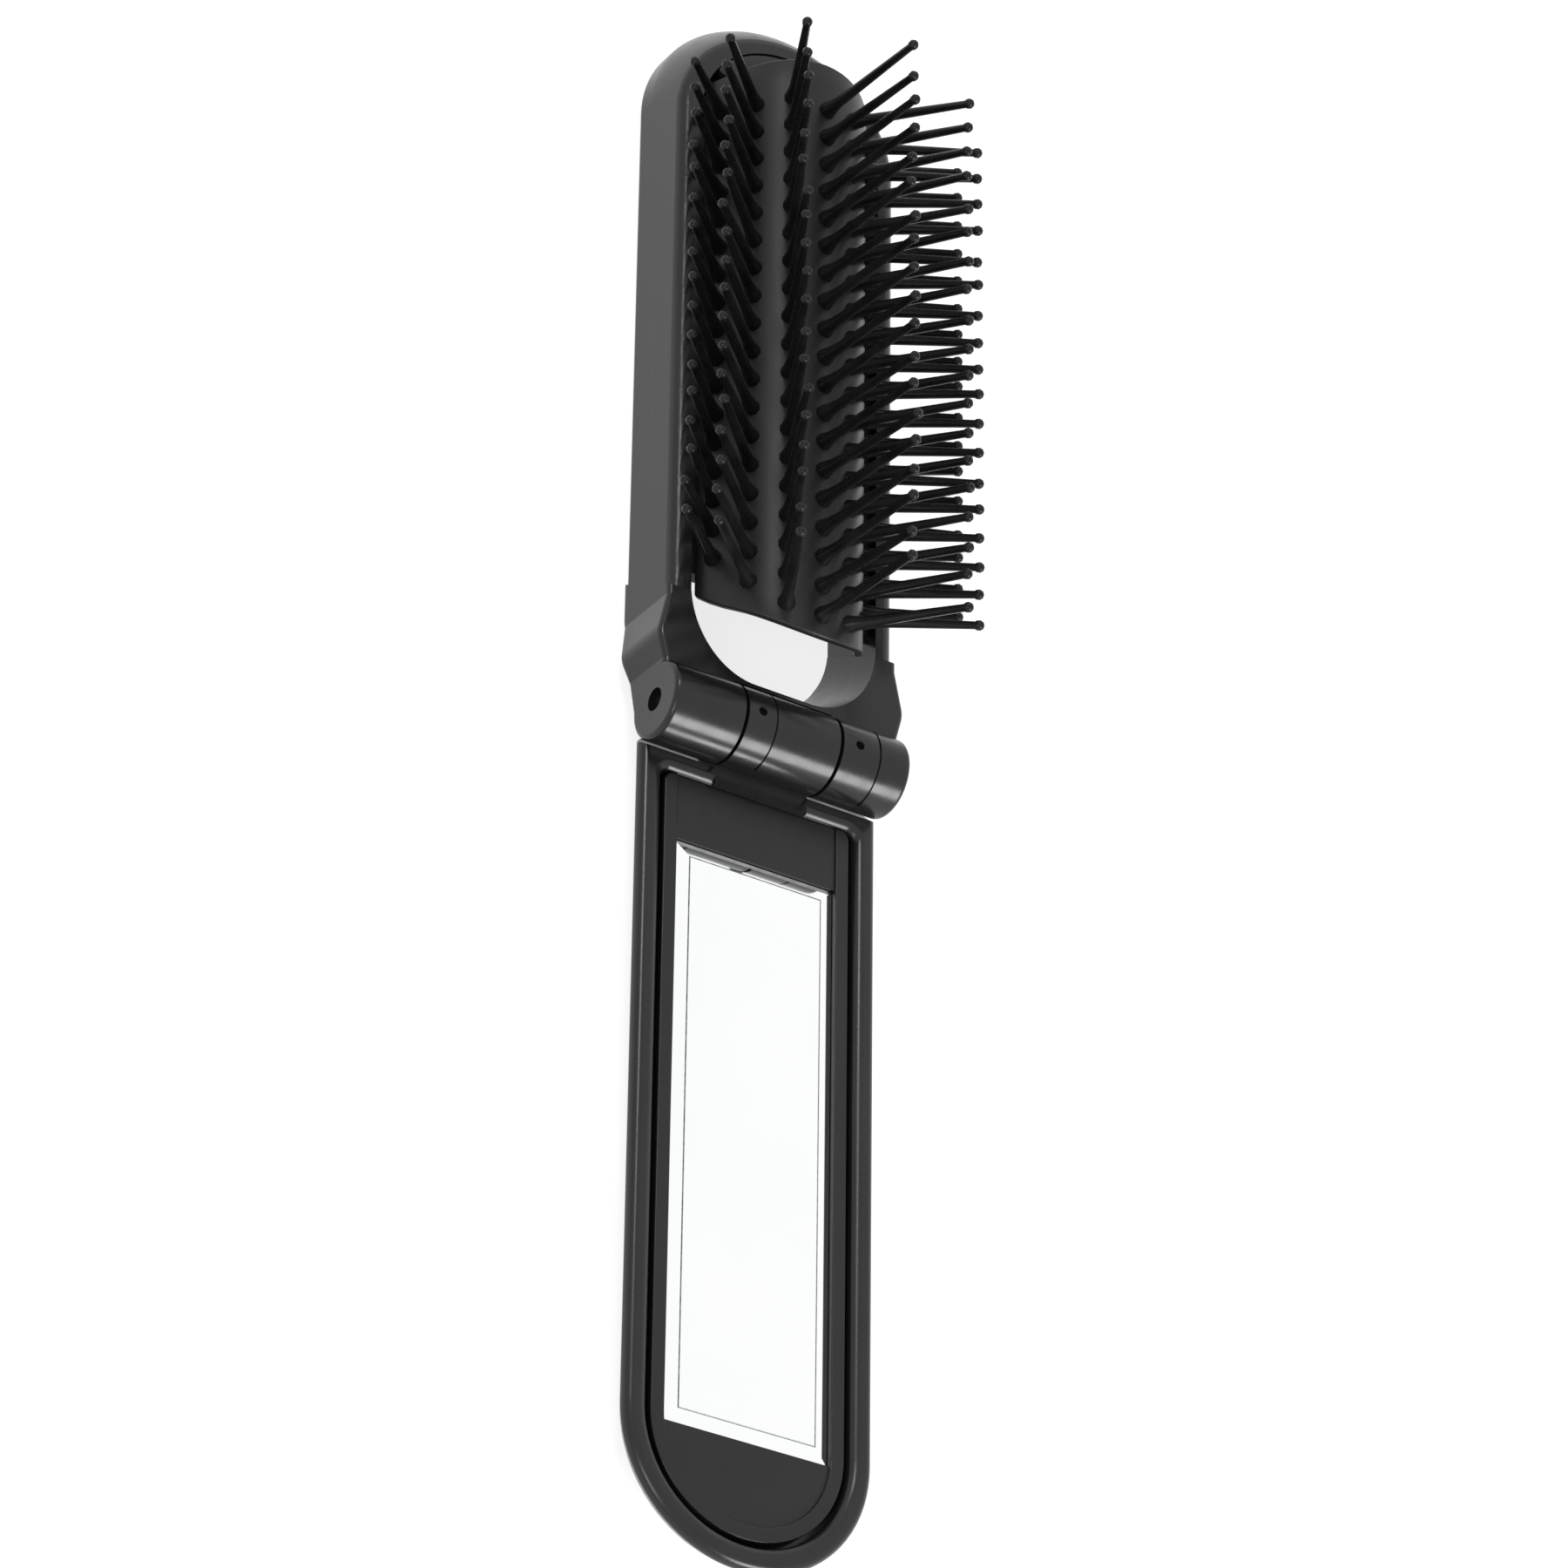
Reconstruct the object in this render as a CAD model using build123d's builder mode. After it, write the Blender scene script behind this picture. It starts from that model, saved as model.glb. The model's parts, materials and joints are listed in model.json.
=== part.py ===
# Folding pocket hairbrush with a mirror in its handle, open and lying on its back.
# X runs across, Y along towards the brush head, Z up from the table. Millimetres.
# The brush head is the fixed body. The handle folds over the bristles about the barrel.
from build123d import *
from math import cos, radians, sin, sqrt, tan
import os

# Overall sizes
head_reach = 108.0
handle_reach = 108.0
axis_height = 8.5
rim_rise = 2.2
rim_gap = 0.2
overrun = 5.0

# Head frame
frame_half = 16.3
frame_wall = 2.8
frame_bottom_round = 0.8
frame_top_round = 1.6
frame_floor = 1.6
frame_floor_length = 26.0
seam_reach = 15.5
seam_lean = 26.0

# The frame's nose leans back from its foot to its rim, ever faster
nose_wall = 1.7
nose_rake = 5.6
nose_foot = 3.3
nose_curve_share = 1.34
nose_level_shares = (0, 0.12, 0.3, 0.55, 0.75, 0.9, 1)

# Tenons that join the yoke to the frame's rails
tenon_width = 1.2
tenon_length = 2.6
tenon_low = 3.4
tenon_height = 4.0
tenon_clearance = 0.05

# Hinge barrel and its pin
knuckle_radius = 5.1
knuckle_side_gap = 0.5
knuckle_clearance = 0.25
barrel_proud = 0.7
middle_half = 6.6
pin_radius = 1.45
pin_clearance = 0.05
pin_recess = 1.8
pin_end_wall = 4.6
groove_width = 0.3
groove_depth = 0.2
groove_inset = 4.6
middle_groove_x = -2.6
groove_sweep = 140.0
pit_radius = 0.6
pit_depth = 0.8
pit_inset = 7.6
middle_pit_x = -4.7

# Hinge yoke
shoulder_proud = 1.6
shoulder_reach = 8.6
shoulder_round = 4.0
seam_step = 0.35
seam_land = 1.2
yoke_edge_round = 0.7
yoke_ramp = 13.0
yoke_ramp_inset = 0.2
yoke_web_start = 1.6
yoke_gap_reach = 5.4
yoke_gap_flat = 4.0
yoke_gap_corner = 11.1
yoke_gap_lean = 27.0
yoke_arm = 2.8

# Click ball and its spring, in a bore that leans down from the barrel
click_radius = 0.8
click_clearance = 0.05
click_gap = 0.1
click_angle = 35.0
click_spring_radius = 0.75
click_spring_wall = 0.25
click_spring_length = 2.6

# Bristle pad: a bent sheet, round at its crest and straight down its flanks
pad_rise = 10.6
pad_thickness = 1.1
pad_flank_angle = 57.0
pad_edge_rise = 0.9
pad_edge_gap = 1.14
pad_near_crest = 9.5
pad_near_side = 17.8
pad_far_side_gap = 8.7
pad_far_crest_gap = 5.8

# Rails that carry the pad's edges
rail_width = 2.5
rail_depth = 1.8
rail_start = 19.0

# Bristle pins, from the crest row outwards
row_pitch = 4.7
row_end_gap = 12.3
row_fans = (0.0, 29.3, 49.2, 50.0)
pin_roll = 3.0
row_lengths = (19.0, 16.6, 15.1, 12.5)
row_starts = (12.4, 13.2, 16.4, 20.6)
pin_lean = 2.5
pin_skew = 2.0
row_counts = (19, 19, 18, 17)
collar_radius = 1.15
collar_height = 2.6
stem_radius = 0.62
stem_tip_radius = 0.42
ball_radius = 0.68
root_depth = 0.4

# Handle shell
handle_half = 16.95
handle_corner = 2.5
handle_corner_ease = 0.1
handle_flank_angle = 65.0
handle_land = 1.4
handle_top_round = 1.1
handle_toe = 2.5
handle_toe_round = 4.0
handle_cove_gap = 0.3
handle_floor = 3.0
handle_rim = 3.05
handle_near_wall = 2.2
handle_ridge_round = 1.3
handle_neck_low = 1.3
pocket_corner = 1.2

# Mirror frame, which lies in the handle's pocket
insert_gap = 0.6
insert_near_gap = 0.1
insert_floor = 0.65
insert_border = 1.9
insert_rise = 0.3
insert_edge_round = 0.2

# Mirror and the foam tape under it
mirror_near = 15.8
mirror_overlap = 1.0
mirror_thickness = 1.1
mirror_clearance = 0.1
mirror_bevel_width = 1.9
mirror_bevel_depth = 0.35
tape_thickness = 0.4
tape_inset = 1.0

# Places that follow from the sizes above
axis_y = (handle_reach - head_reach) / 2
rim_top = axis_height + rim_rise
handle_top = axis_height - rim_rise - rim_gap
well_half = frame_half - frame_wall
well_reach = head_reach - nose_rake - nose_wall
well_end_y = axis_y + well_reach - well_half
nose_y = axis_y + head_reach - frame_half
barrel_half = frame_half + barrel_proud
shoulder_half = frame_half + shoulder_proud
pin_reach = barrel_half - pin_end_wall
seam_y = axis_y + seam_reach
seam_run = rim_top * tan(radians(seam_lean))
seam_plane = Plane(origin=(0, seam_y, rim_top), z_dir=(0, cos(radians(seam_lean)), sin(radians(seam_lean))))
rail_middle = frame_half - frame_wall / 2
gap_half = middle_half + knuckle_side_gap
swing_radius = knuckle_radius + knuckle_clearance
cove_radius = knuckle_radius + handle_cove_gap
flank_height = handle_top - handle_land
flank_radius = flank_height / (1 - cos(radians(handle_flank_angle)))
flank_start = handle_half - flank_radius * sin(radians(handle_flank_angle))
handle_end_y = axis_y - handle_reach + handle_half
handle_near_y = axis_y - sqrt(cove_radius ** 2 - (axis_height - handle_top) ** 2)
handle_toe_y = axis_y - handle_toe
toe_top = axis_height - sqrt(cove_radius ** 2 - handle_toe ** 2)
pocket_half = handle_half - handle_rim
pocket_near_y = handle_near_y - handle_near_wall
insert_half = pocket_half - insert_gap
insert_near_y = pocket_near_y - insert_near_gap
border_half = insert_half - insert_border
mirror_half = border_half - mirror_clearance
mirror_far = handle_reach - handle_half + mirror_overlap
glass_low = handle_floor + insert_floor + tape_thickness
glass_top = glass_low + mirror_thickness
mirror_length = mirror_far - mirror_near
mirror_y = axis_y - (mirror_far + mirror_near) / 2
pad_half = well_half - pad_edge_gap
pad_seat = axis_height + pad_edge_rise
flank = radians(pad_flank_angle)
bend_share = sin(flank) - (1 - cos(flank)) / tan(flank)
pad_crest_radius = (pad_half - (pad_rise - pad_edge_rise) / tan(flank)) / bend_share
pad_centre = axis_height + pad_rise - pad_crest_radius
pad_far_side = well_reach - pad_far_side_gap
pad_far_crest = well_reach - pad_far_crest_gap
pin_pitch = (well_reach - row_end_gap - row_starts[1]) / (row_counts[1] - 1)
flank_run = pad_crest_radius * flank

quarter = 90
barrel_axis = Axis((0, axis_y, axis_height), (1, 0, 0))
parts = {}


def keep_part(piece, name):
    """Names a finished piece and keeps it for writing out."""
    piece.part.label = name
    parts[name] = piece.part


def hoop(half, end_y, start_y):
    """Plan outline of straight sides with a round end, wherever the end points."""
    with BuildSketch() as outline:
        with Locations((0, (start_y + end_y) / 2)):
            Rectangle(2 * half, abs(end_y - start_y))
        with Locations((0, end_y)):
            Circle(half)
    return outline.sketch


# Head frame: a deep hoop, open at the back, with a floor only in its nose
with BuildPart() as head_frame:
    with BuildSketch():
        add(hoop(frame_half, nose_y, axis_y))
    extrude(amount=nose_foot)
    fillet(head_frame.faces().sort_by(Axis.Z)[0].edges(), frame_bottom_round)
    for share in nose_level_shares:
        lean = nose_rake * (1 - (1 - share ** nose_curve_share) ** (1 / nose_curve_share))
        with BuildSketch(Plane.XY.offset(nose_foot + share * (rim_top - nose_foot))):
            add(hoop(frame_half, nose_y - lean, axis_y))
    loft()
    fillet(head_frame.faces().sort_by(Axis.Z)[-1].edges(), frame_top_round)
    with BuildSketch(Plane.XY.offset(frame_floor)):
        add(hoop(well_half, well_end_y, axis_y - overrun))
    extrude(amount=rim_top, mode=Mode.SUBTRACT)
    with BuildSketch(Plane.XY.offset(-overrun)):
        with Locations((0, axis_y - overrun)):
            Rectangle(2 * well_half, head_reach - frame_floor_length + overrun,
                      align=(Align.CENTER, Align.MIN))
    extrude(amount=frame_floor + 2 * overrun, mode=Mode.SUBTRACT)
    split(bisect_by=seam_plane, keep=Keep.TOP)
    with BuildSketch(Plane.XY.offset(tenon_low - tenon_clearance)):
        with Locations((rail_middle, seam_y), (-rail_middle, seam_y)):
            Rectangle(tenon_width + 2 * tenon_clearance, seam_run + tenon_length + tenon_clearance,
                      align=(Align.CENTER, Align.MIN))
    extrude(amount=tenon_height + 2 * tenon_clearance, mode=Mode.SUBTRACT)
keep_part(head_frame, "head_frame")

# Hinge yoke: the outer barrel knuckles, a web behind the barrel and two arms out to the frame
ramp = radians(yoke_ramp)
ramp_radius = knuckle_radius - yoke_ramp_inset
ramp_start = (axis_y - ramp_radius * sin(ramp), axis_height - ramp_radius * cos(ramp))
ramp_end_y = ramp_start[0] + ramp_start[1] / tan(ramp)
yoke_end_y = seam_y + seam_run + overrun
gap_lean = radians(yoke_gap_lean)
gap_top = rim_top + overrun
gap_near_y = axis_y + yoke_gap_reach - overrun * tan(gap_lean)
arm_inner = frame_half - yoke_arm
seam_half = frame_half + seam_step
gap_corner_y = gap_near_y + yoke_gap_corner
click_lean = radians(click_angle)
click_way = (0, cos(click_lean), -sin(click_lean))
click_centre = knuckle_radius + click_gap + click_radius
click_seat = click_centre + click_radius


def along_click(reach):
    """Point on the click bore's line, at a distance from the barrel's axis."""
    return (0, axis_y + reach * click_way[1], axis_height + reach * click_way[2])


with BuildPart() as hinge_yoke:
    with BuildSketch(Plane.YZ.offset(-shoulder_half - overrun)):
        with BuildLine():
            Polyline((axis_y, axis_height), ramp_start, (ramp_end_y, 0), (yoke_end_y, 0),
                     (yoke_end_y, rim_top), (axis_y, rim_top), (axis_y, axis_height))
        make_face()
        with Locations((axis_y, axis_height)):
            Circle(knuckle_radius)
    extrude(amount=2 * (shoulder_half + overrun))
    with BuildSketch(Plane.XY.offset(-overrun)):
        start_y = axis_y - knuckle_radius - overrun
        with BuildLine():
            Polyline((0, start_y), (barrel_half, start_y), (barrel_half, axis_y + knuckle_radius),
                     (shoulder_half, axis_y + shoulder_reach), (seam_half, seam_y - seam_land),
                     (seam_half, yoke_end_y + overrun), (0, yoke_end_y + overrun), (0, start_y))
        make_face()
        mirror(about=Plane.YZ)
        columns = vertices().group_by(Axis.X)
        fillet(columns[0] + columns[-1], shoulder_round)
    extrude(amount=axis_height + knuckle_radius + 2 * overrun, mode=Mode.INTERSECT)
    split(bisect_by=seam_plane, keep=Keep.BOTTOM)
    cheek_edges = hinge_yoke.edges().filter_by(lambda e: abs(e.center().X) > arm_inner)
    cheek_edges -= cheek_edges.filter_by(Axis.Z) + cheek_edges.filter_by(seam_plane)
    fillet(cheek_edges, yoke_edge_round)
    with BuildSketch(Plane.XY.offset(gap_top)):
        with BuildLine():
            Line((0, gap_near_y), (yoke_gap_flat, gap_near_y))
            EllipticalCenterArc((yoke_gap_flat, gap_corner_y), arm_inner - yoke_gap_flat, yoke_gap_corner,
                                start_angle=-quarter, arc_size=quarter)
            Polyline((arm_inner, gap_corner_y), (arm_inner, yoke_end_y), (0, yoke_end_y), (0, gap_near_y))
        make_face()
        mirror(about=Plane.YZ)
    extrude(amount=gap_top + 2 * overrun, dir=(0, sin(gap_lean), -cos(gap_lean)), mode=Mode.SUBTRACT)
    with BuildSketch(Plane.YZ):
        with Locations((axis_y, axis_height)):
            Circle(swing_radius)
        with Locations((axis_y + yoke_web_start, 0)):
            Rectangle(swing_radius + yoke_web_start, rim_top, align=(Align.MAX, Align.MIN))
    extrude(amount=gap_half, both=True, mode=Mode.SUBTRACT)
    with BuildSketch(Plane.YZ.offset(-barrel_half - overrun)):
        with Locations((axis_y, axis_height)):
            Circle(pin_radius + pin_clearance)
    extrude(amount=barrel_half + overrun + pin_reach + pin_clearance, mode=Mode.SUBTRACT)
    with BuildSketch(Plane(origin=along_click(knuckle_radius), z_dir=click_way)):
        Circle(click_radius + click_clearance)
    extrude(amount=click_seat + click_spring_length - knuckle_radius, mode=Mode.SUBTRACT)
    with BuildSketch(Plane.XY.offset(axis_height)):
        with Locations((barrel_half - groove_inset, axis_y - knuckle_radius + groove_depth)):
            Rectangle(groove_width, overrun, align=(Align.CENTER, Align.MAX))
    revolve(axis=barrel_axis, revolution_arc=-groove_sweep, mode=Mode.SUBTRACT)
    with Locations((barrel_half - pit_inset, axis_y, axis_height + knuckle_radius)):
        Hole(pit_radius, pit_depth)
    with BuildSketch(Plane.XY.offset(tenon_low)):
        with Locations((rail_middle, seam_y), (-rail_middle, seam_y)):
            Rectangle(tenon_width, seam_run + tenon_length, align=(Align.CENTER, Align.MIN))
    extrude(amount=tenon_height)
keep_part(hinge_yoke, "hinge_yoke")

with BuildPart() as hinge_pin:
    with BuildSketch(Plane.YZ.offset(pin_recess - barrel_half)):
        with Locations((axis_y, axis_height)):
            Circle(pin_radius)
    extrude(amount=barrel_half - pin_recess + pin_reach)
keep_part(hinge_pin, "hinge_pin")

with BuildPart() as click_ball:
    with Locations(along_click(click_centre)):
        Sphere(click_radius)
keep_part(click_ball, "click_ball")

with BuildPart() as click_spring:
    with BuildSketch(Plane(origin=along_click(click_seat), z_dir=click_way)):
        Circle(click_spring_radius)
        Circle(click_spring_radius - click_spring_wall, mode=Mode.SUBTRACT)
    extrude(amount=click_spring_length)
keep_part(click_spring, "click_spring")


# Rails on the inner walls of the head frame
def make_pad_rail(side):
    """One rail, on the side whose sign is given."""
    with BuildPart() as rail:
        with BuildSketch(Plane.XY.offset(pad_seat - rail_depth)):
            with Locations((side * (well_half - rail_width / 2), axis_y + rail_start)):
                Rectangle(rail_width, well_end_y - axis_y - rail_start, align=(Align.CENTER, Align.MIN))
        extrude(amount=rail_depth)
    return rail


keep_part(make_pad_rail(-1), "pad_rail_left")
keep_part(make_pad_rail(1), "pad_rail_right")


# Bristle rows: each is a strip of the pad with its pins
def pad_point(run, depth):
    """Place in the pad's section, by the run along its outside from the crest and the depth below."""
    angle = min(run, flank_run) / pad_crest_radius
    drop = max(run - flank_run, 0)
    reach = pad_crest_radius - depth
    return (reach * sin(angle) + drop * cos(flank), pad_centre + reach * cos(angle) - drop * sin(flank))


def edge_run(depth):
    """Run at which the pad's flank meets its seat."""
    return flank_run + (pad_point(flank_run, depth)[1] - pad_seat) / sin(flank)


def pad_line(start, end, depth, side):
    """Points along the pad between two runs, with the end of the bend among them."""
    runs = [start, end]
    if start < flank_run < end:
        runs = [start, flank_run, end]
    return [(side * x, z) for x, z in (pad_point(run, depth) for run in runs)]


def make_pin(rank, side):
    """One bristle pin of a row, standing on the pad at the hinge's own distance."""
    x, z = pad_point(rank * row_pitch, 0)
    fan = radians(side * row_fans[rank] + pin_roll)
    lean = radians(pin_lean + (side * pin_skew if rank else 0))
    way = Vector(sin(fan) * cos(lean), -sin(lean), cos(fan) * cos(lean))
    across = Vector(way.Z, 0, -way.X).normalized()
    length = row_lengths[rank]
    neck = length - ball_radius - sqrt(ball_radius ** 2 - stem_tip_radius ** 2)
    with BuildPart() as pin:
        with BuildSketch(Plane(origin=(side * x, axis_y, z), x_dir=way.cross(across), z_dir=across)):
            with BuildLine():
                Polyline((0, length), (0, -root_depth), (collar_radius, -root_depth), (collar_radius, 0),
                         (stem_radius, collar_height), (stem_tip_radius, neck))
                ThreePointArc((stem_tip_radius, neck), (ball_radius, length - ball_radius), (0, length))
            make_face()
        revolve(axis=Axis((side * x, axis_y, z), way))
    return pin


def make_row(rank, side):
    """A strip of the pad with its pins. Rank counts from the crest, side is the sign of X."""
    pin = make_pin(rank, side)
    start = (rank - 0.5) * row_pitch if rank else 0
    last = rank == len(row_counts) - 1
    outer_end = edge_run(0) if last else (rank + 0.5) * row_pitch
    inner_end = edge_run(pad_thickness) if last else outer_end
    with BuildPart() as row:
        with BuildSketch(Plane(origin=(0, axis_y, 0), x_dir=(1, 0, 0), z_dir=(0, -1, 0))):
            with BuildLine():
                for depth, end in ((0, outer_end), (pad_thickness, inner_end)):
                    spots = pad_line(start, end, depth, side)
                    bend = min(end, flank_run)
                    if start < flank_run:
                        middle_x, middle_z = pad_point((start + bend) / 2, depth)
                        ThreePointArc(spots[0], (side * middle_x, middle_z), spots[1])
                    if end > flank_run:
                        Line(spots[-2], spots[-1])
                for runs in ((start, start), (outer_end, inner_end)):
                    ends = [pad_point(run, depth) for run, depth in zip(runs, (0, pad_thickness))]
                    Line((side * ends[0][0], ends[0][1]), (side * ends[1][0], ends[1][1]))
            make_face()
            if rank == 0:
                mirror(about=Plane.YZ)
        extrude(amount=pad_far_crest + overrun, dir=(0, 1, 0))
        with BuildSketch(Plane.XY):
            edge = well_half
            near_y = axis_y + pad_near_side
            far_y = axis_y + pad_far_side
            with BuildLine():
                ThreePointArc((-edge, near_y), (0, axis_y + pad_near_crest), (edge, near_y))
                Line((edge, near_y), (edge, far_y))
                ThreePointArc((edge, far_y), (0, axis_y + pad_far_crest), (-edge, far_y))
                Line((-edge, far_y), (-edge, near_y))
            make_face()
        extrude(amount=pad_seat + pad_rise + overrun, mode=Mode.INTERSECT)
        with Locations([(0, row_starts[rank] + i * pin_pitch, 0) for i in range(row_counts[rank])]):
            add(pin.part)
    return row


middle_row = len(row_counts)
for rank in range(len(row_counts)):
    for side in (-1, 1) if rank else (1,):
        keep_part(make_row(rank, side), f"bristle_row_{middle_row + side * rank}")


# Handle shell: a tray, with the middle knuckle on a neck from its near wall
def half_section():
    """Half of the handle's outer section, with its flank swept up from a flat bottom to the rim."""
    with BuildSketch() as section:
        with BuildLine():
            Line((0, 0), (flank_start, 0))
            CenterArc((flank_start, flank_radius), flank_radius, -quarter, handle_flank_angle)
            Polyline((handle_half, flank_height), (handle_half, handle_top), (0, handle_top), (0, 0))
        make_face()
    return section.sketch


with BuildPart() as handle_shell:
    end_plane = Plane(origin=(0, handle_end_y, 0), x_dir=(1, 0, 0), z_dir=(0, -1, 0))
    with BuildSketch(end_plane):
        add(half_section())
        mirror(about=Plane.YZ)
    extrude(amount=handle_toe_y - handle_end_y, dir=(0, 1, 0))
    with BuildSketch(end_plane):
        add(half_section())
    revolve(axis=Axis((0, handle_end_y, 0), (0, 0, -1)), revolution_arc=2 * quarter)
    fillet(handle_shell.faces().sort_by(Axis.Z)[-1].edges(), handle_top_round)
    with BuildSketch(Plane.YZ.offset(-handle_half - overrun)):
        with Locations((axis_y, axis_height)):
            Circle(cove_radius)
    extrude(amount=2 * (handle_half + overrun), mode=Mode.SUBTRACT)
    with BuildSketch(Plane.YZ.offset(-handle_half - overrun)):
        heel_y = handle_toe_y - handle_toe_round
        with BuildLine():
            EllipticalCenterArc((heel_y, toe_top), handle_toe_round, toe_top,
                                start_angle=-quarter, arc_size=quarter)
            Polyline((handle_toe_y, toe_top), (handle_toe_y + overrun, toe_top),
                     (handle_toe_y + overrun, -overrun), (heel_y, -overrun), (heel_y, 0))
        make_face()
    extrude(amount=2 * (handle_half + overrun), mode=Mode.SUBTRACT)
    with BuildSketch(Plane.XY.offset(-overrun)):
        with Locations((0, handle_toe_y)):
            Rectangle(2 * (handle_half + handle_corner_ease), handle_reach, align=(Align.CENTER, Align.MAX))
        fillet(vertices().group_by(Axis.Y)[-1], handle_corner)
    extrude(amount=handle_top + 2 * overrun, mode=Mode.INTERSECT)
    with BuildSketch(Plane.XY.offset(handle_floor)):
        add(hoop(pocket_half, handle_end_y, pocket_near_y))
        fillet(vertices().group_by(Axis.Y)[-1], pocket_corner)
    extrude(amount=handle_top, mode=Mode.SUBTRACT)
    top_edges = handle_shell.faces().sort_by(Axis.Z)[-1].inner_wires()[0].edges()
    fillet(top_edges, handle_ridge_round)
    with BuildSketch(Plane.YZ):
        with BuildLine():
            Polyline((pocket_near_y, handle_neck_low), (axis_y, axis_height - knuckle_radius),
                     (axis_y, axis_height), (axis_y - knuckle_radius / 2, handle_top),
                     (pocket_near_y, handle_top), (pocket_near_y, handle_neck_low))
        make_face()
        with Locations((axis_y, axis_height)):
            Circle(knuckle_radius)
    extrude(amount=middle_half, both=True)
    with BuildSketch(Plane.YZ):
        with Locations((axis_y, axis_height)):
            Circle(pin_radius + pin_clearance)
    extrude(amount=middle_half, both=True, mode=Mode.SUBTRACT)
    with BuildSketch(Plane.XY.offset(axis_height)):
        with Locations((middle_groove_x, axis_y - knuckle_radius + groove_depth)):
            Rectangle(groove_width, overrun, align=(Align.CENTER, Align.MAX))
    revolve(axis=barrel_axis, revolution_arc=-groove_sweep, mode=Mode.SUBTRACT)
    with Locations((middle_pit_x, axis_y, axis_height + knuckle_radius)):
        Hole(pit_radius, pit_depth)
keep_part(handle_shell, "handle_shell")

# Mirror frame: a tray with a raised border, a flat round end and a flat panel near the hinge
with BuildPart() as mirror_frame:
    with BuildSketch(Plane.XY.offset(handle_floor)):
        add(hoop(insert_half, handle_end_y, insert_near_y))
        fillet(vertices().group_by(Axis.Y)[-1], pocket_corner)
    extrude(amount=glass_top + insert_rise - handle_floor)
    with BuildSketch(Plane.XY.offset(glass_top)):
        add(hoop(border_half, handle_end_y, insert_near_y + overrun))
    extrude(amount=overrun, mode=Mode.SUBTRACT)
    fillet(mirror_frame.faces().sort_by(Axis.Z)[-1].edges(), insert_edge_round)
    with BuildSketch(Plane.XY.offset(handle_floor + insert_floor)):
        with Locations((0, mirror_y)):
            Rectangle(2 * (mirror_half + mirror_clearance), mirror_length + 2 * mirror_clearance)
    extrude(amount=overrun, mode=Mode.SUBTRACT)
keep_part(mirror_frame, "mirror_frame")

with BuildPart() as mirror_glass:
    with BuildSketch(Plane.XY.offset(glass_low)):
        with Locations((0, mirror_y)):
            Rectangle(2 * mirror_half, mirror_length)
    extrude(amount=mirror_thickness - mirror_bevel_depth)
    with BuildSketch(Plane.XY.offset(glass_top - mirror_bevel_depth)):
        with Locations((0, mirror_y)):
            Rectangle(2 * mirror_half, mirror_length)
    with BuildSketch(Plane.XY.offset(glass_top)):
        with Locations((0, mirror_y)):
            Rectangle(2 * (mirror_half - mirror_bevel_width), mirror_length - 2 * mirror_bevel_width)
    loft()
keep_part(mirror_glass, "mirror_glass")

with BuildPart() as mirror_tape:
    with BuildSketch(Plane.XY.offset(handle_floor + insert_floor)):
        with Locations((0, mirror_y)):
            Rectangle(2 * (mirror_half - tape_inset), mirror_length - 2 * tape_inset)
    extrude(amount=tape_thickness)
keep_part(mirror_tape, "mirror_tape")

os.makedirs("parts", exist_ok=True)
for name, solid in parts.items():
    export_step(solid, f"parts/{name}.step")
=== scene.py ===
import bpy, bmesh, json, math, random
from mathutils import Matrix, Vector


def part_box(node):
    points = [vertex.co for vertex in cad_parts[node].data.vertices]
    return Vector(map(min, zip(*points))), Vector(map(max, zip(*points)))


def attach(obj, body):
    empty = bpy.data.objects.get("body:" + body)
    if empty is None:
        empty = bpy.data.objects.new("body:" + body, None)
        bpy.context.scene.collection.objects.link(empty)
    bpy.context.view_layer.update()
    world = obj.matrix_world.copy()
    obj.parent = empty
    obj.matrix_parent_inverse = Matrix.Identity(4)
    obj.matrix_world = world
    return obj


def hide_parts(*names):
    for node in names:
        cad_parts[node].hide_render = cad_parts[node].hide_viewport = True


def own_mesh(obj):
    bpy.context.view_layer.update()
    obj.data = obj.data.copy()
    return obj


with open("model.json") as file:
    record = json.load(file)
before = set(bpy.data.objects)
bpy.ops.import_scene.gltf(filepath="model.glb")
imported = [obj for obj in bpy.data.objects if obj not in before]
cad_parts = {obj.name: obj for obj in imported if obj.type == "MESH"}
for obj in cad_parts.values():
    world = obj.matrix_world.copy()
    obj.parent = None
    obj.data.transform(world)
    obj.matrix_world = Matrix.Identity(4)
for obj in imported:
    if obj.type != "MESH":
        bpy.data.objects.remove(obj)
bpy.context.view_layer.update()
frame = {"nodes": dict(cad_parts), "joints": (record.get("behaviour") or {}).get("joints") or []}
bpy.ops.object.select_all(action="DESELECT")
print("frame loaded")

# lengths are in millimetres and angles in degrees, until a Blender call needs metres or radians
mm = 0.001
slack = 0.02                                           # room for picking points by their place
edges = {"sharpest": 50, "segments": 3}                # edges bent by more than this are rounded off
hingeHeight = frame["joints"][0]["pos_m"][2] / mm      # from the table to the middle of the barrel


def deselectAll():
    if bpy.context.object and bpy.context.object.mode != "OBJECT":
        bpy.ops.object.mode_set(mode="OBJECT")
    bpy.ops.object.select_all(action="DESELECT")


def pick(obj):
    deselectAll()
    obj.select_set(True)
    bpy.context.view_layer.objects.active = obj


def applyPlace(obj):
    pick(obj)
    bpy.ops.object.transform_apply(location=True, rotation=True, scale=True)


def addModifier(obj, kind, **values):
    pick(obj)
    modifier = obj.modifiers.new(kind.lower(), kind)
    for key, value in values.items():
        setattr(modifier, key, value)
    bpy.ops.object.modifier_apply(modifier=modifier.name)


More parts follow.
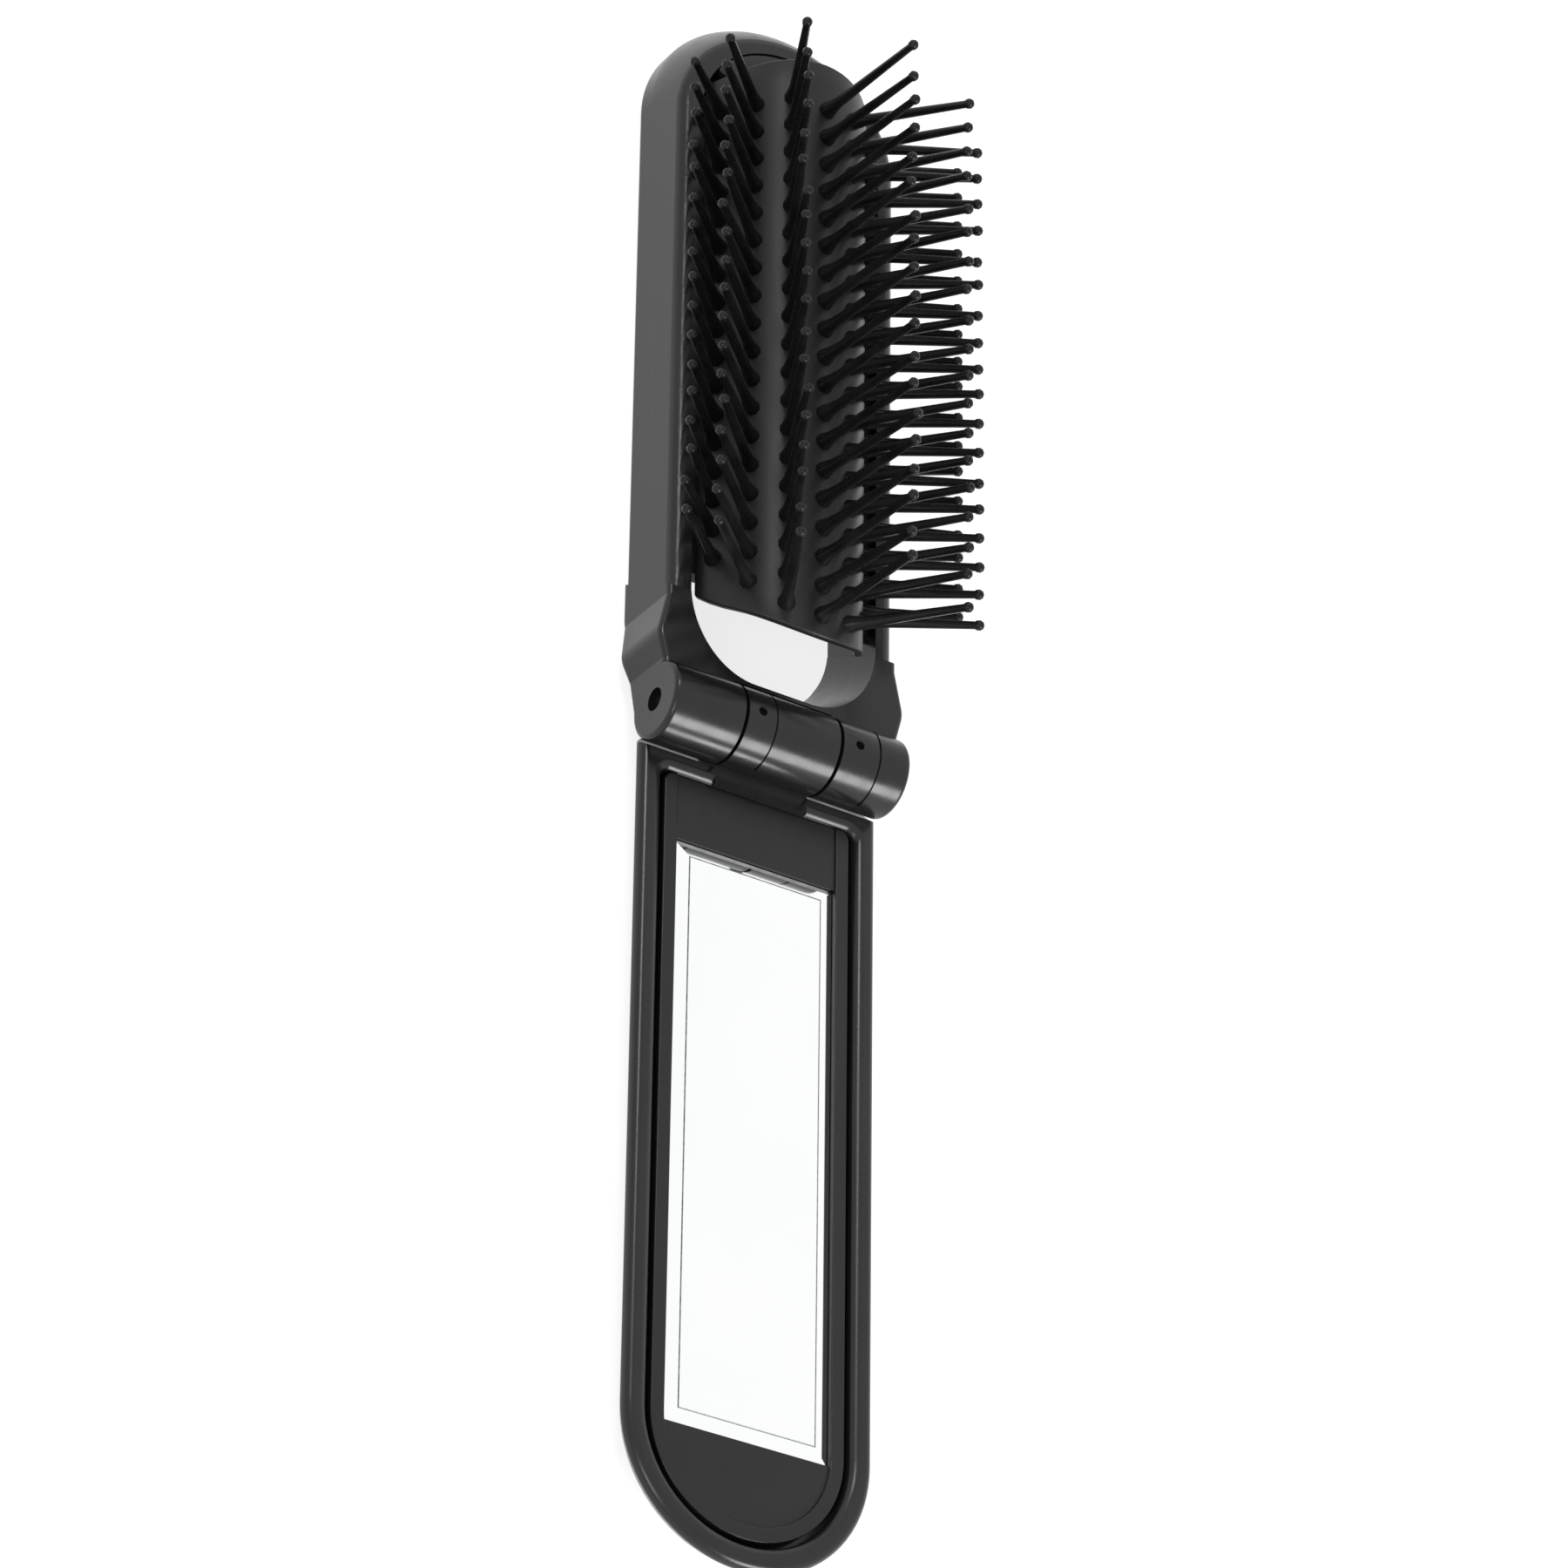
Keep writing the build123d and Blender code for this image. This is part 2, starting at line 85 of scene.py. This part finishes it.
def roundEdges(obj, width):
    addModifier(obj, "BEVEL", width=width * mm, segments=edges["segments"], limit_method="ANGLE",
                angle_limit=math.radians(edges["sharpest"]))


def smooth(obj, angle):
    pick(obj)
    bpy.ops.object.shade_smooth_by_angle(angle=math.radians(angle))


def editAll():
    bpy.ops.object.mode_set(mode="EDIT")
    bpy.ops.mesh.select_all(action="SELECT")


def leaveFacingOut():
    # ends edit mode with all faces turned outwards
    bpy.ops.mesh.select_all(action="SELECT")
    bpy.ops.mesh.normals_make_consistent(inside=False)
    bpy.ops.object.mode_set(mode="OBJECT")


def extrudeBy(x, y, z):
    bpy.ops.mesh.extrude_region_move(TRANSFORM_OT_translate={"value": (x * mm, y * mm, z * mm)})


def chooseVerts(obj, test):
    # leaves obj in edit mode, with only the points selected whose place passes the test
    if bpy.context.object.mode != "EDIT":
        bpy.ops.object.mode_set(mode="EDIT")
    bpy.context.tool_settings.mesh_select_mode = (True, False, False)
    bpy.ops.mesh.select_all(action="DESELECT")
    mesh = bmesh.from_edit_mesh(obj.data)
    for vert in mesh.verts:
        if test(vert.co / mm):
            vert.select_set(True)
    mesh.select_flush_mode()
    bmesh.update_edit_mesh(obj.data)


# the pad is one bent sheet, round at its crest, with its long edges on the two rails
railLow, railHigh = (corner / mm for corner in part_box("pad_rail_left"))
crestLow, crestHigh = (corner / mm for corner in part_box("bristle_row_4"))
pad = {"bendRadius": 11.163, "bendCentre": 7.937, "bendAngle": 57, "halfWidth": 12.36,
       "seat": railHigh.z, "archHalf": -railLow.x,
       "nearSide": 17.8, "nearCrest": crestLow.y, "farSide": 92.0, "farCrest": crestHigh.y,
       "thickness": 1.1, "edgeRound": 0.32, "smoothAngle": 40,
       "bendSteps": 18, "flankSteps": 3, "lengthSteps": 26}


def endPlace(x, side, crest):
    # y of one of the pad's curved ends, at a distance x from the middle line
    rise = side - crest
    radius = (pad["archHalf"] ** 2 + rise ** 2) / (2 * abs(rise))
    drop = radius - math.sqrt(radius ** 2 - x ** 2)
    return crest + math.copysign(drop, rise)


def makePad():
    bend = math.radians(pad["bendAngle"])
    startX = -pad["bendRadius"] * math.sin(bend)
    startZ = pad["bendCentre"] + pad["bendRadius"] * math.cos(bend)
    length = pad["farSide"] - pad["nearSide"]
    middle = (pad["farSide"] + pad["nearSide"]) / 2
    gridHalf = 0.5      # of the new grid's side of one millimetre
    deselectAll()
    bpy.ops.mesh.primitive_grid_add(x_subdivisions=1, y_subdivisions=pad["lengthSteps"],
                                    size=2 * gridHalf * mm,
                                    location=((startX + gridHalf) * mm, middle * mm, startZ * mm))
    sheet = bpy.context.object
    sheet.name = "bristle_pad"
    sheet.scale = (1, length, 1)
    applyPlace(sheet)
    # one line of points is kept and spun round the bend
    chooseVerts(sheet, lambda p: p.x > startX + gridHalf)
    bpy.ops.mesh.delete(type="VERT")
    bpy.ops.mesh.select_all(action="SELECT")
    bpy.ops.mesh.spin(steps=pad["bendSteps"], angle=2 * bend, center=(0, 0, pad["bendCentre"] * mm),
                      axis=(0, -1, 0))
    # the straight flanks below the bend
    runX = (pad["halfWidth"] + startX) / pad["flankSteps"]
    runZ = (startZ - pad["seat"]) / pad["flankSteps"]
    for side in (-1, 1):
        chooseVerts(sheet, lambda p: side * p.x > -startX - slack)
        for step in range(pad["flankSteps"]):
            extrudeBy(side * runX, 0, -runZ)
    # each lengthwise line of points is stretched between the two curved ends
    bpy.ops.object.mode_set(mode="OBJECT")
    lines = sorted({round(vert.co.x / mm, 2) for vert in sheet.data.vertices})
    for x in lines:
        near = endPlace(x, pad["nearSide"], pad["nearCrest"])
        far = endPlace(x, pad["farSide"], pad["farCrest"])
        chooseVerts(sheet, lambda p: abs(p.x - x) < slack)
        bpy.ops.transform.resize(value=(1, (far - near) / length, 1), center_override=(0, middle * mm, 0))
        bpy.ops.transform.translate(value=(0, ((far + near) / 2 - middle) * mm, 0))
    leaveFacingOut()
    # an open sheet has no outside yet, so its faces may have been turned down
    if sum(face.normal.z for face in sheet.data.polygons) < 0:
        editAll()
        bpy.ops.mesh.flip_normals()
        bpy.ops.object.mode_set(mode="OBJECT")
    addModifier(sheet, "SOLIDIFY", thickness=pad["thickness"] * mm, offset=-1)
    roundEdges(sheet, pad["edgeRound"])
    smooth(sheet, pad["smoothAngle"])
    return sheet


padSheet = makePad()
print("pad bent and shaped")

# rows of pins: rank 0 is the crest row, and ranks 1 to 3 stand on each side of it
# fans, roll, lean and skew tilt a whole row, and sway is each pin's own small tilt
pins = {"pitch": 4.178, "rowPitch": 4.7, "counts": (19, 19, 18, 17), "starts": (12.4, 13.2, 16.4, 20.6),
        "lengths": (19.0, 16.6, 15.1, 12.5), "fans": (0, 29.3, 49.2, 50),
        "roll": 2.3, "lean": 2.5, "skew": 2.0, "sway": 0.9, "seed": 100,
        "ball": 0.7, "ballRings": (-25, 15, 52), "tip": 0.5, "sides": 10, "smoothAngle": 60,
        # height and radius of the flared foot's rings
        "foot": ((-0.35, 1.18), (0.12, 1.15), (0.75, 0.98), (1.7, 0.8), (2.8, 0.7))}


def footPlace(rank, side):
    # where a row stands on the outside of the pad
    bend = math.radians(pad["bendAngle"])
    run = rank * pins["rowPitch"]
    angle = min(run / pad["bendRadius"], bend)
    drop = max(run - bend * pad["bendRadius"], 0)
    return Vector((side * (pad["bendRadius"] * math.sin(angle) + drop * math.cos(bend)), 0,
                   pad["bendCentre"] + pad["bendRadius"] * math.cos(angle) - drop * math.sin(bend)))


def makePin(length):
    # a flared foot, a tapering stem and a ball at the tip, standing on the origin
    ball, tip = pins["ball"], pins["tip"]
    ballMiddle = length - ball
    neck = ballMiddle - math.sqrt(ball ** 2 - tip ** 2)
    rings = list(pins["foot"]) + [(neck, tip)]
    for angle in pins["ballRings"]:
        turn = math.radians(angle)
        rings.append((ballMiddle + ball * math.sin(turn), ball * math.cos(turn)))
    deselectAll()
    bpy.ops.mesh.primitive_circle_add(vertices=pins["sides"], radius=rings[0][1] * mm, fill_type="NGON",
                                      location=(0, 0, rings[0][0] * mm))
    pin = bpy.context.object
    applyPlace(pin)
    editAll()
    for (z0, r0), (z1, r1) in zip(rings, rings[1:]):
        extrudeBy(0, 0, z1 - z0)
        bpy.ops.transform.resize(value=(r1 / r0, r1 / r0, 1), center_override=(0, 0, 0))
    extrudeBy(0, 0, length - rings[-1][0])
    bpy.ops.mesh.merge(type="CENTER")
    leaveFacingOut()
    smooth(pin, pins["smoothAngle"])
    return pin


def makePinRow(rank, side, number):
    fan = math.radians(side * pins["fans"][rank] + pins["roll"])
    lean = math.radians(pins["lean"] + (side * pins["skew"] if rank else 0))
    way = Vector((math.sin(fan) * math.cos(lean), -math.sin(lean), math.cos(fan) * math.cos(lean)))
    foot = footPlace(rank, side)
    chance = random.Random(pins["seed"] + rank * 2 + side)
    pin = makePin(pins["lengths"][rank])
    turn = Vector((0, 0, 1)).rotation_difference(way).to_matrix()
    copies = []
    for i in range(pins["counts"][rank]):
        copy = pin.copy()
        copy.data = pin.data.copy()
        bpy.context.collection.objects.link(copy)
        sway = Matrix.Rotation(math.radians(chance.gauss(0, pins["sway"])), 3, "X")
        sway = sway @ Matrix.Rotation(math.radians(chance.gauss(0, pins["sway"])), 3, "Y")
        place = Vector((foot.x, pins["starts"][rank] + i * pins["pitch"], foot.z)) * mm
        copy.matrix_world = Matrix.Translation(place) @ (turn @ sway).to_4x4()
        copies.append(copy)
    deselectAll()
    pin.select_set(True)
    bpy.ops.object.delete()
    for copy in copies:
        copy.select_set(True)
    bpy.context.view_layer.objects.active = copies[0]
    bpy.ops.object.join()
    row = bpy.context.object
    row.name = "pin_row_%d" % number
    applyPlace(row)
    return row, foot, Vector((way.x, 0, way.z)).normalized()


pinRows = {}
for rank in range(len(pins["counts"])):
    for side in ((-1, 1) if rank else (1,)):
        number = len(pins["counts"]) + side * rank      # from 1 at the left to 7 at the right
        pinRows[number] = makePinRow(rank, side, number)
print("pins set in %d rows" % len(pinRows))

# a narrow ledge inside the nose closes the gap behind the pad's far end; it is sunk a little into the wall
ledge = {"middleY": railHigh.y, "wallRadius": -railLow.x, "sunk": 0.1, "width": 2.1, "low": 8.4, "top": 10.5,
         "halfSweep": 54, "steps": 28, "weld": 0.002, "edgeRound": 0.35, "smoothAngle": 40}


def makeLedge():
    sweep = math.radians(ledge["halfSweep"])
    middle = ledge["wallRadius"] + ledge["sunk"] - ledge["width"] / 2
    deselectAll()
    bpy.ops.mesh.primitive_plane_add(size=mm, rotation=(math.radians(90), 0, 0),
                                     location=(0, 0, (ledge["top"] + ledge["low"]) / 2 * mm))
    piece = bpy.context.object
    piece.name = "nose_ledge"
    piece.scale = (ledge["width"], ledge["top"] - ledge["low"], 1)
    applyPlace(piece)
    piece.location.x = middle * mm
    applyPlace(piece)
    # the section goes to one end of the sweep and is spun to the other
    piece.rotation_euler.z = math.pi / 2 - sweep
    piece.location.y = ledge["middleY"] * mm
    applyPlace(piece)
    editAll()
    bpy.ops.mesh.spin(steps=ledge["steps"], angle=2 * sweep, center=(0, ledge["middleY"] * mm, 0),
                      axis=(0, 0, -1))
    bpy.ops.mesh.select_all(action="SELECT")
    bpy.ops.mesh.remove_doubles(threshold=ledge["weld"] * mm)
    leaveFacingOut()
    roundEdges(piece, ledge["edgeRound"])
    smooth(piece, ledge["smoothAngle"])
    return piece


noseLedge = makeLedge()
print("nose ledge spun")

# the mirror's glass fills the solid's box, with a ground bevel and a fine line where that meets the flat
glassLow, glassHigh = (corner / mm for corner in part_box("mirror_glass"))
glass = {"bevelWidth": 1.9, "bevelDepth": 0.48, "lineWidth": 0.09, "lineDepth": 0.06,
         "lineFlatness": 0.9, "smoothAngle": 3}


def makeGlass():
    length = glassHigh.y - glassLow.y
    middle = (glassHigh.y + glassLow.y) / 2
    edgeTop = glassHigh.z - glass["bevelDepth"]
    deselectAll()
    bpy.ops.mesh.primitive_cube_add(size=mm, location=(0, middle * mm, (glassLow.z + edgeTop) / 2 * mm))
    plate = bpy.context.object
    plate.name = "mirror_plate"
    plate.scale = (2 * glassHigh.x, length, edgeTop - glassLow.z)
    applyPlace(plate)
    chooseVerts(plate, lambda p: p.z > edgeTop - slack)
    # up the bevel, down into the fine line and out of it to the flat
    line, depth = glass["lineWidth"], glass["lineDepth"]
    inset, width, span = 0.0, 2 * glassHigh.x, length
    for step, rise in ((glass["bevelWidth"] - line, glass["bevelDepth"] - depth / 2), (line, -depth),
                       (line, 1.5 * depth)):
        inset += step
        newWidth, newSpan = 2 * glassHigh.x - 2 * inset, length - 2 * inset
        extrudeBy(0, 0, rise)
        bpy.ops.transform.resize(value=(newWidth / width, newSpan / span, 1),
                                 center_override=(0, middle * mm, 0))
        width, span = newWidth, newSpan
    leaveFacingOut()
    smooth(plate, glass["smoothAngle"])
    # the line's two steep sides take the second material, a dark one that paints the shade in the groove
    for face in plate.data.polygons:
        onTop = face.center.z > (glassHigh.z - 2 * depth) * mm
        face.material_index = 1 if onTop and abs(face.normal.z) < glass["lineFlatness"] else 0
    return plate


mirrorPlate = makeGlass()
print("mirror ground")

# a real coil stands for the plain sleeve behind the click ball
coil = {"wire": 0.13, "wireSides": 8, "middle": 0.6, "turns": 6, "turnSteps": 20,
        "start": 6.8, "length": 2.55, "angle": 35, "smoothAngle": 60}


def makeSpring():
    deselectAll()
    bpy.ops.mesh.primitive_circle_add(vertices=coil["wireSides"], radius=coil["wire"] * mm,
                                      location=(coil["middle"] * mm, 0, 0), rotation=(math.radians(90), 0, 0))
    spring = bpy.context.object
    spring.name = "click_coil"
    applyPlace(spring)
    pitch = (coil["length"] - 2 * coil["wire"]) / coil["turns"]
    addModifier(spring, "SCREW", angle=2 * math.pi, screw_offset=pitch * mm, iterations=coil["turns"],
                steps=coil["turnSteps"], render_steps=coil["turnSteps"], axis="Z", use_merge_vertices=True)
    # both ends of the wire are closed
    bpy.ops.object.mode_set(mode="EDIT")
    bpy.context.tool_settings.mesh_select_mode = (True, False, False)
    bpy.ops.mesh.select_all(action="DESELECT")
    bpy.ops.mesh.select_non_manifold()
    bpy.ops.mesh.edge_face_add()
    leaveFacingOut()
    slope = math.radians(coil["angle"])
    way = Vector((0, math.cos(slope), -math.sin(slope)))
    start = Vector((0, 0, hingeHeight)) + way * (coil["start"] + coil["wire"])
    turn = Vector((0, 0, 1)).rotation_difference(way).to_matrix()
    spring.matrix_world = Matrix.Translation(start * mm) @ turn.to_4x4()
    applyPlace(spring)
    smooth(spring, coil["smoothAngle"])
    return spring


clickCoil = makeSpring()
print("spring wound")


def newMaterial(name):
    mat = bpy.data.materials.new(name)
    mat.use_nodes = True
    return mat, mat.node_tree, mat.node_tree.nodes["Principled BSDF"]


def objectPlace(tree):
    coords = tree.nodes.get("Texture Coordinate") or tree.nodes.new("ShaderNodeTexCoord")
    return coords.outputs["Object"]


def noise(tree, scale, detail=2, stretch=None):
    node = tree.nodes.new("ShaderNodeTexNoise")
    node.inputs["Scale"].default_value = scale
    node.inputs["Detail"].default_value = detail
    place = objectPlace(tree)
    if stretch:
        mapping = tree.nodes.new("ShaderNodeMapping")
        mapping.inputs["Scale"].default_value = stretch
        tree.links.new(place, mapping.inputs["Vector"])
        place = mapping.outputs["Vector"]
    tree.links.new(place, node.inputs["Vector"])
    return node.outputs["Fac"]


def spread(tree, source, low, high, fromLow=0.3, fromHigh=0.7):
    node = tree.nodes.new("ShaderNodeMapRange")
    node.inputs["From Min"].default_value = fromLow
    node.inputs["From Max"].default_value = fromHigh
    node.inputs["To Min"].default_value = low
    node.inputs["To Max"].default_value = high
    tree.links.new(source, node.inputs["Value"])
    return node.outputs["Result"]


def combine(tree, operation, first, second):
    node = tree.nodes.new("ShaderNodeMath")
    node.operation = operation
    tree.links.new(first, node.inputs[0])
    tree.links.new(second, node.inputs[1])
    return node.outputs[0]


def addColour(tree, shader, source, look, span=(0.35, 0.7)):
    # span is the part of the pattern over which dark turns to light
    ramp = tree.nodes.new("ShaderNodeValToRGB")
    for element, position, key in zip(ramp.color_ramp.elements, span, ("dark", "light")):
        element.position = position
        element.color = (*look[key], 1)
    tree.links.new(source, ramp.inputs["Fac"])
    tree.links.new(ramp.outputs["Color"], shader.inputs["Base Color"])


def addBump(tree, shader, height, strength, depth):
    bump = tree.nodes.new("ShaderNodeBump")
    bump.inputs["Strength"].default_value = strength
    bump.inputs["Distance"].default_value = depth * mm
    tree.links.new(height, bump.inputs["Height"])
    tree.links.new(bump.outputs["Normal"], shader.inputs["Normal"])


# black plastics; wipes are faint rub marks along the brush, and grain is the moulded skin
shellLook = {"dark": (0.008, 0.008, 0.0085), "light": (0.013, 0.013, 0.0135), "rough": (0.20, 0.30),
             "ior": 1.5, "shine": 0.38, "clouds": 60, "wipes": 500, "grain": 2600, "bump": 0.2}
insertLook = {"dark": (0.008, 0.008, 0.0085), "light": (0.012, 0.012, 0.0125), "rough": (0.26, 0.38),
              "ior": 1.5, "shine": 0.34, "clouds": 80, "wipes": 600, "grain": 3200, "bump": 0.25}
padLook = {"dark": (0.011, 0.011, 0.011), "light": (0.018, 0.018, 0.018), "rough": (0.32, 0.44),
           "ior": 1.48, "shine": 0.3, "clouds": 90, "wipes": 500, "grain": 3000, "bump": 0.3}
pinLook = {"dark": (0.006, 0.006, 0.006), "light": (0.012, 0.012, 0.012), "rough": (0.24, 0.34),
           "ior": 1.46, "shine": 0.22, "clouds": 250, "wipes": 900, "grain": 4000, "bump": 0.15}
skin = {"depth": 0.03, "wipeStretch": (1, 0.12, 1), "wipeRange": (0.12, 0.42)}


def mouldedPlastic(name, look):
    mat, tree, shader = newMaterial(name)
    shader.inputs["IOR"].default_value = look["ior"]
    shader.inputs["Specular IOR Level"].default_value = look["shine"]
    clouds = noise(tree, look["clouds"], 3)
    addColour(tree, shader, clouds, look)
    wipes = noise(tree, look["wipes"], 4, skin["wipeStretch"])
    marks = combine(tree, "MULTIPLY", clouds, wipes)
    tree.links.new(spread(tree, marks, *look["rough"], *skin["wipeRange"]), shader.inputs["Roughness"])
    addBump(tree, shader, noise(tree, look["grain"]), look["bump"], skin["depth"])
    return mat


steelLook = {"dark": (0.42, 0.42, 0.43), "light": (0.62, 0.62, 0.61), "rough": (0.22, 0.42), "lines": 900}


def drawnSteel(name, stretch):
    mat, tree, shader = newMaterial(name)
    shader.inputs["Metallic"].default_value = 1
    lines = noise(tree, steelLook["lines"], 3, stretch)      # drawing lines along the wire
    addColour(tree, shader, lines, steelLook)
    tree.links.new(spread(tree, lines, *steelLook["rough"]), shader.inputs["Roughness"])
    return mat


silverLook = {"dark": (0.955, 0.965, 0.965), "light": (0.98, 0.985, 0.985), "rough": (0.015, 0.05),
              "haze": 45}


def silveredGlass():
    mat, tree, shader = newMaterial("silveredGlass")
    shader.inputs["Metallic"].default_value = 1
    haze = noise(tree, silverLook["haze"], 3)                # left by handling
    addColour(tree, shader, haze, silverLook)
    tree.links.new(spread(tree, haze, *silverLook["rough"]), shader.inputs["Roughness"])
    return mat


# the fine line in the mirror's bevel is coloured dark: painted shade where the groove's sides lie in shadow,
# varied by grinding marks
lineShadeLook = {"dark": (0.10, 0.105, 0.105), "light": (0.30, 0.31, 0.31), "rough": (0.35, 0.6), "metallic": 0.6,
            "shadeAndGrind": 1500}


def bevelShadowLine():
    mat, tree, shader = newMaterial("bevelShadowLine")
    shader.inputs["Metallic"].default_value = lineShadeLook["metallic"]
    shadeAndGrind = noise(tree, lineShadeLook["shadeAndGrind"])                   # painted shade of the fine line, varied by grinding marks
    addColour(tree, shader, shadeAndGrind, lineShadeLook)
    tree.links.new(spread(tree, shadeAndGrind, *lineShadeLook["rough"]), shader.inputs["Roughness"])
    return mat


foamLook = {"dark": (0.60, 0.60, 0.57), "light": (0.74, 0.74, 0.71), "rough": 0.95, "cells": 3500,
            "bump": 0.5, "depth": 0.1}


def whiteFoam():
    mat, tree, shader = newMaterial("whiteFoam")
    shader.inputs["Roughness"].default_value = foamLook["rough"]
    cells = tree.nodes.new("ShaderNodeTexVoronoi")
    cells.inputs["Scale"].default_value = foamLook["cells"]
    tree.links.new(objectPlace(tree), cells.inputs["Vector"])
    addColour(tree, shader, cells.outputs["Distance"], foamLook)
    addBump(tree, shader, cells.outputs["Distance"], foamLook["bump"], foamLook["depth"])
    return mat


shellPlastic = mouldedPlastic("blackShellPlastic", shellLook)
insertPlastic = mouldedPlastic("blackInsertPlastic", insertLook)
padPlastic = mouldedPlastic("blackPadPlastic", padLook)
pinPlastic = mouldedPlastic("blackPinPlastic", pinLook)
pinSteel = drawnSteel("drawnPinSteel", (0.05, 1, 1))
springSteel = drawnSteel("springSteel", (1, 1, 1))
silvered = silveredGlass()
finishes = {"head_frame": shellPlastic, "hinge_yoke": shellPlastic, "handle_shell": shellPlastic,
            "mirror_frame": insertPlastic, "mirror_glass": silvered, "mirror_tape": whiteFoam(),
            "pad_rail_left": insertPlastic, "pad_rail_right": insertPlastic,
            "hinge_pin": pinSteel, "click_ball": springSteel, "click_spring": springSteel}

for name, node in frame["nodes"].items():
    node.data.materials.clear()
    node.data.materials.append(finishes.get(name, padPlastic))
padSheet.data.materials.append(padPlastic)
noseLedge.data.materials.append(shellPlastic)
mirrorPlate.data.materials.append(silvered)
mirrorPlate.data.materials.append(bevelShadowLine())
clickCoil.data.materials.append(springSteel)
for row, foot, way in pinRows.values():
    row.data.materials.append(pinPlastic)
print("materials done")


def placeOnBodies():
    rows = ["bristle_row_%d" % number for number in sorted(pinRows)]
    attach(padSheet, "head")
    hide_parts(*rows)
    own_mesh(padSheet)
    for number, (row, foot, way) in pinRows.items():
        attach(row, "head")
        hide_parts("bristle_row_%d" % number)
        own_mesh(row)
    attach(noseLedge, "head")
    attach(mirrorPlate, "handle")
    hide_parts("mirror_glass")
    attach(clickCoil, "head")
    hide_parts("click_spring")


placeOnBodies()
print("pieces on their bodies")

# the camera, fitted to the photograph; it looks at the middle of the barrel, but for the two shifts
view = {"azimuth": -42.957, "elevation": 46.215, "roll": 52.964, "distance": 818.5, "shiftX": -1.371,
        "shiftY": 5.287, "lens": 154.98, "sensor": 36, "nearest": 10, "farthest": 20000}


def makeCamera():
    az, el, roll = (math.radians(view[key]) for key in ("azimuth", "elevation", "roll"))
    back = Vector((math.sin(az) * math.cos(el), -math.cos(az) * math.cos(el), math.sin(el)))
    level = Vector((0, 0, 1)).cross(back).normalized()
    upright = back.cross(level)
    right = math.cos(roll) * level + math.sin(roll) * upright
    up = -math.sin(roll) * level + math.cos(roll) * upright
    data = bpy.data.cameras.new("camera")
    data.lens = view["lens"]
    data.sensor_width = view["sensor"]
    data.clip_start = view["nearest"] * mm
    data.clip_end = view["farthest"] * mm
    camera = bpy.data.objects.new("camera", data)
    bpy.context.collection.objects.link(camera)
    place = Vector((0, 0, hingeHeight)) + back * view["distance"]
    place -= right * view["shiftX"] + up * view["shiftY"]
    camera.matrix_world = Matrix.Translation(place * mm) @ Matrix((right, up, back)).transposed().to_4x4()
    bpy.context.scene.camera = camera


makeCamera()

# the studio and its lamps are in metres and watts
studio = {"floorSize": 6, "floorColour": 0.5, "floorGlow": 0.78, "worldLight": 0.5}


def rayShare(tree):
    # 1 where the camera, a glossy ray or a clear ray looks, else 0
    path = tree.nodes.new("ShaderNodeLightPath")
    share = path.outputs["Is Camera Ray"]
    for name in ("Is Glossy Ray", "Is Transmission Ray"):
        share = combine(tree, "MAXIMUM", share, path.outputs[name])
    return share


def makeFloor():
    deselectAll()
    bpy.ops.mesh.primitive_plane_add(size=studio["floorSize"], location=(0, 0, 0))
    floor = bpy.context.object
    floor.name = "floor"
    mat, tree, shader = newMaterial("whiteFloor")
    grey = studio["floorColour"]
    shader.inputs["Base Color"].default_value = (grey, grey, grey, 1)
    shader.inputs["Roughness"].default_value = 1
    shader.inputs["Specular IOR Level"].default_value = 0
    glow = tree.nodes.new("ShaderNodeEmission")
    tree.links.new(spread(tree, rayShare(tree), 0, studio["floorGlow"], 0, 1), glow.inputs["Strength"])
    add = tree.nodes.new("ShaderNodeAddShader")
    tree.links.new(shader.outputs[0], add.inputs[0])
    tree.links.new(glow.outputs[0], add.inputs[1])
    tree.links.new(add.outputs[0], tree.nodes["Material Output"].inputs["Surface"])
    floor.data.materials.append(mat)


def makeWorld():
    world = bpy.data.worlds.new("studio")
    bpy.context.scene.world = world
    world.use_nodes = True
    tree = world.node_tree
    back = tree.nodes["Background"]
    back.inputs["Color"].default_value = (1, 1, 1, 1)
    tree.links.new(spread(tree, rayShare(tree), studio["worldLight"], 1, 0, 1), back.inputs["Strength"])


# keyLamp lights the left flanks, barrelLamp puts the bright patches on the barrel,
# and rimLamp draws the light lines along the handle's rim
lamps = {"keyLamp": {"place": (-1.0, -0.7, 0.8), "size": 0.5, "power": 4.0},
         "barrelLamp": {"place": (0.52, -0.90, 0.38), "size": 0.46, "power": 9.0},
         "rimLamp": {"place": (-0.42, 0.56, 0.86), "size": 0.24, "power": 2.0}}


def makeLamp(name, lamp):
    data = bpy.data.lights.new(name, "AREA")
    data.shape = "SQUARE"
    data.size = lamp["size"]
    data.energy = lamp["power"]
    obj = bpy.data.objects.new(name, data)
    bpy.context.collection.objects.link(obj)
    obj.location = lamp["place"]
    obj.rotation_euler = (-Vector(lamp["place"])).to_track_quat("-Z", "Y").to_euler()


makeFloor()
makeWorld()
for name, lamp in lamps.items():
    makeLamp(name, lamp)
bpy.context.scene.view_settings.view_transform = "Standard"
print("camera, floor and lamps set")
